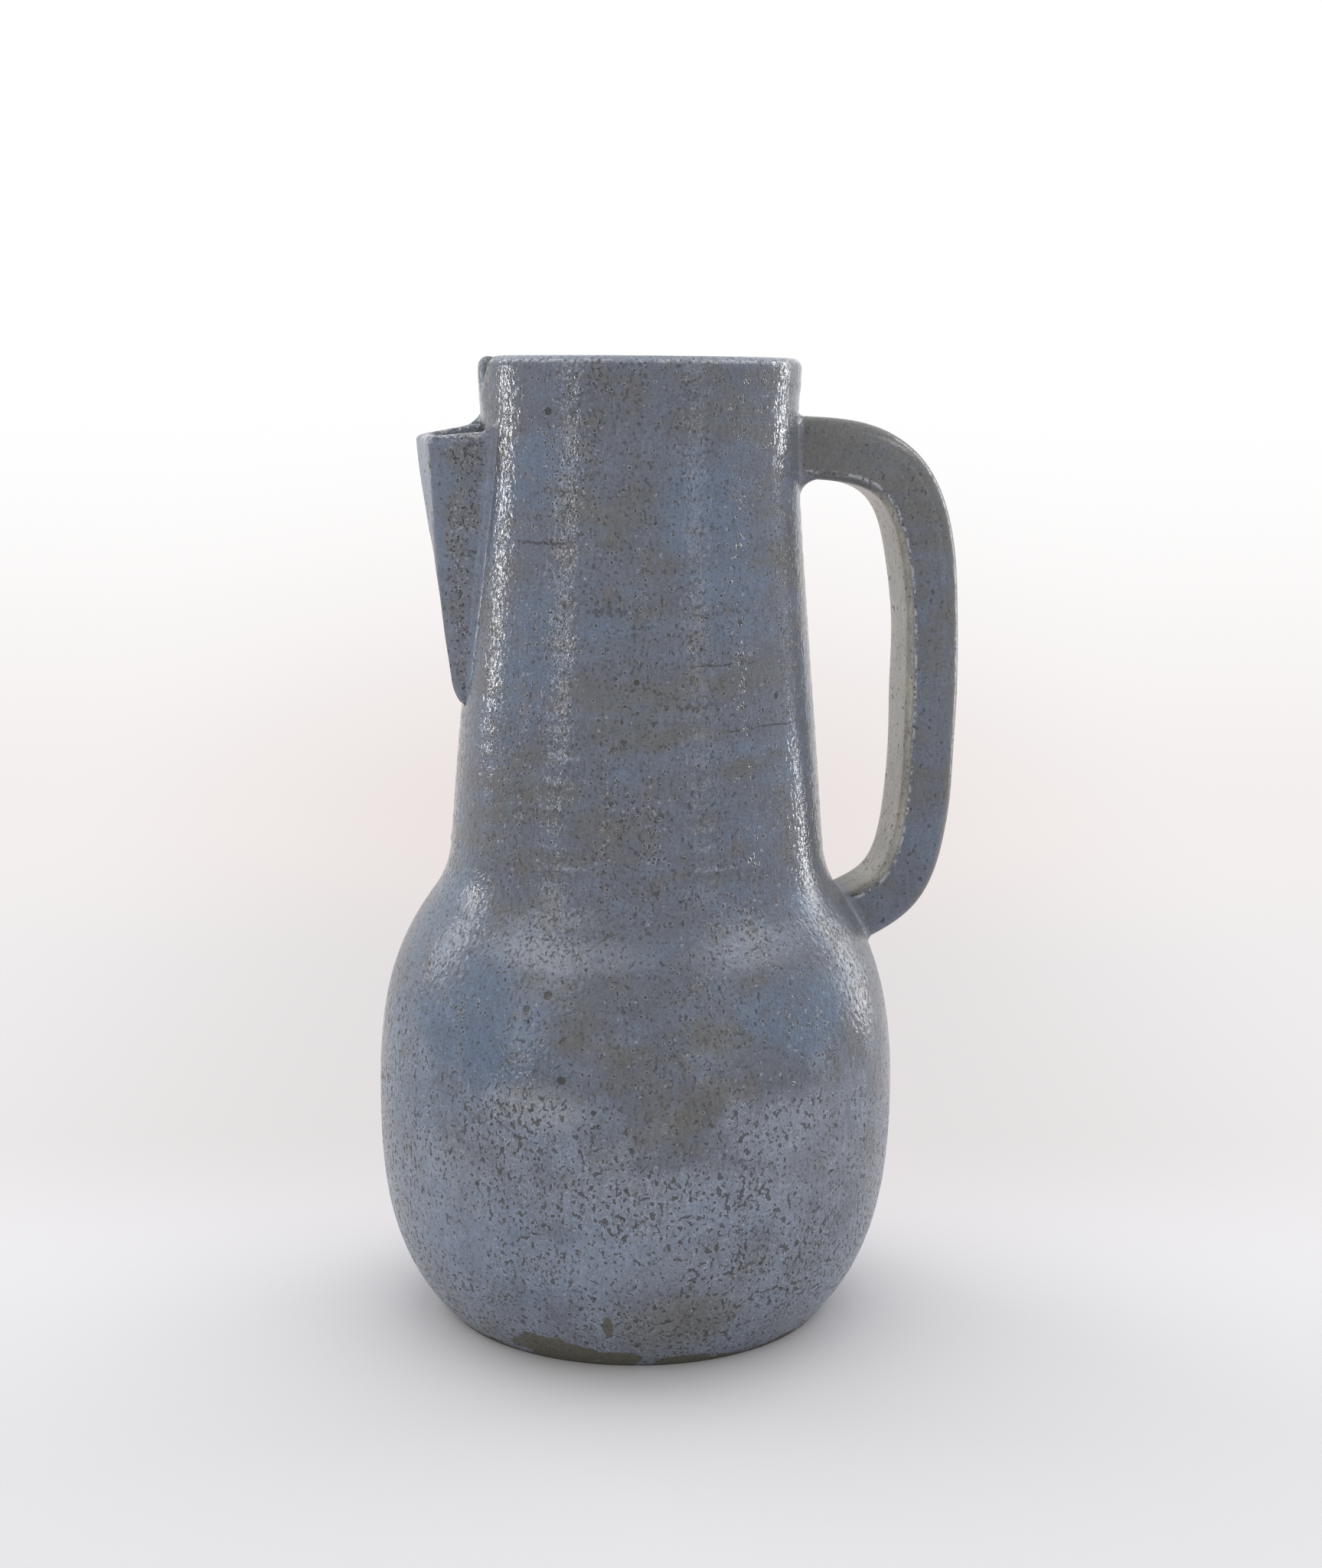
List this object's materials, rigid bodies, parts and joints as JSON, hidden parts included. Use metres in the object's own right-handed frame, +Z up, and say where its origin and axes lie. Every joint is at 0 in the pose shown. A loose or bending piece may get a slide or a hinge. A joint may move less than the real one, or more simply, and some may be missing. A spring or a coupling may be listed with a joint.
{
  "type": "stoneware pitcher",
  "caption": "Tall stoneware pitcher: round belly, tapering neck, applied beak spout under the rim and a strap handle, in a mottled slate-blue glaze.",
  "frame": {"origin": "centre of the flat foot, on the surface that the pitcher stands on", "axes": "+Z up along the axis of the thrown body; the spout points along -X and the handle roughly along +X, 6 degrees towards -Y"},
  "size_m": [0.1783, 0.158, 0.2899],
  "materials": {
    "slate_glaze": "semi-gloss slate-blue glaze, mottled and pitted",
    "olive_glaze": "semi-gloss slate glaze breaking olive brown on the edges"
  },
  "bodies": {
    "root": {"belly": "slate_glaze", "neck": "slate_glaze", "spout": "olive_glaze", "spout_coil_near": "slate_glaze", "spout_coil_far": "slate_glaze", "handle": "olive_glaze", "handle_top_coil": "slate_glaze", "handle_foot_coil": "slate_glaze"}
  },
  "joints": []
}
